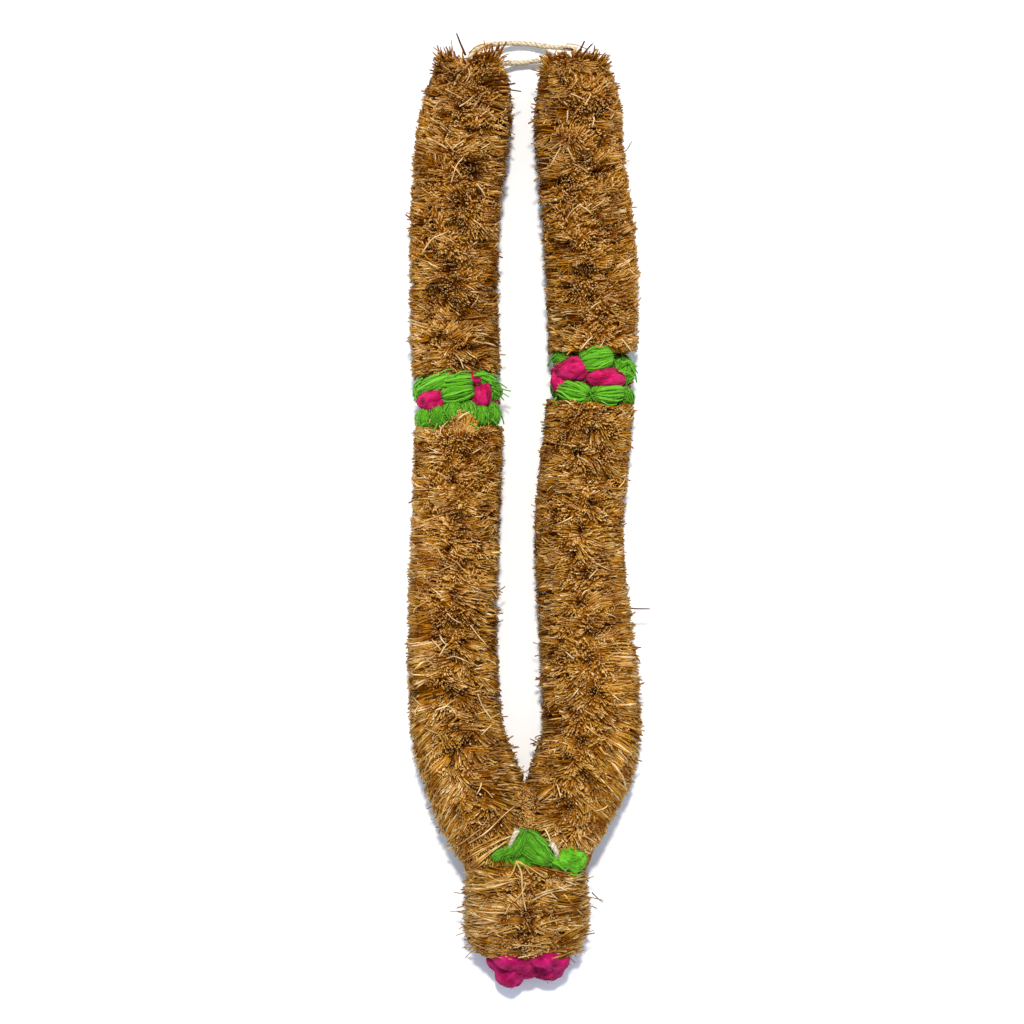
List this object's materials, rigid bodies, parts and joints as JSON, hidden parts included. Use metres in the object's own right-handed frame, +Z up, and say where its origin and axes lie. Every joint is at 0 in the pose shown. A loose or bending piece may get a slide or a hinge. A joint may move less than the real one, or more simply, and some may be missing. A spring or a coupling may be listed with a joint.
{
  "type": "vetiver root garland",
  "caption": "Garland of two brush-like strands of vetiver roots on core twines, with dyed wool bands, joined by a wool tie over a root pendant with a wool tassel.",
  "frame": {"origin": "middle of the garland's outline, on the surface that it lies on", "axes": "+Z up out of the surface, +Y along the garland from the pendant to the top of the loop, +X to the right as seen from above"},
  "size_m": [0.1518, 0.6095, 0.05],
  "materials": {
    "vetiver_root": "dry, fibrous, matt",
    "wool_green": "dyed wool yarn, matt",
    "wool_magenta": "dyed wool yarn, matt",
    "twine": "twisted jute, matt"
  },
  "bodies": {
    "root": {"left_bunch_1": "vetiver_root", "left_bunch_2": "vetiver_root", "left_bunch_3": "vetiver_root", "left_bunch_4": "vetiver_root", "left_bunch_5": "vetiver_root", "left_bunch_6": "vetiver_root", "left_bunch_7": "vetiver_root", "left_bunch_8": "vetiver_root", "left_bunch_9": "vetiver_root", "right_bunch_1": "vetiver_root", "right_bunch_2": "vetiver_root", "right_bunch_3": "vetiver_root", "right_bunch_4": "vetiver_root", "right_bunch_5": "vetiver_root", "right_bunch_6": "vetiver_root", "right_bunch_7": "vetiver_root", "right_bunch_8": "vetiver_root", "right_bunch_9": "vetiver_root", "pendant_bunch": "vetiver_root", "left_band_magenta": "wool_magenta", "left_band_green_upper": "wool_green", "left_band_green_lower": "wool_green", "right_band_magenta": "wool_magenta", "right_band_green_upper": "wool_green", "right_band_green_lower": "wool_green", "tie_green": "wool_green", "tassel_magenta": "wool_magenta", "core_twine_left": "twine", "core_twine_right": "twine", "core_twine_pendant": "twine"}
  },
  "joints": []
}
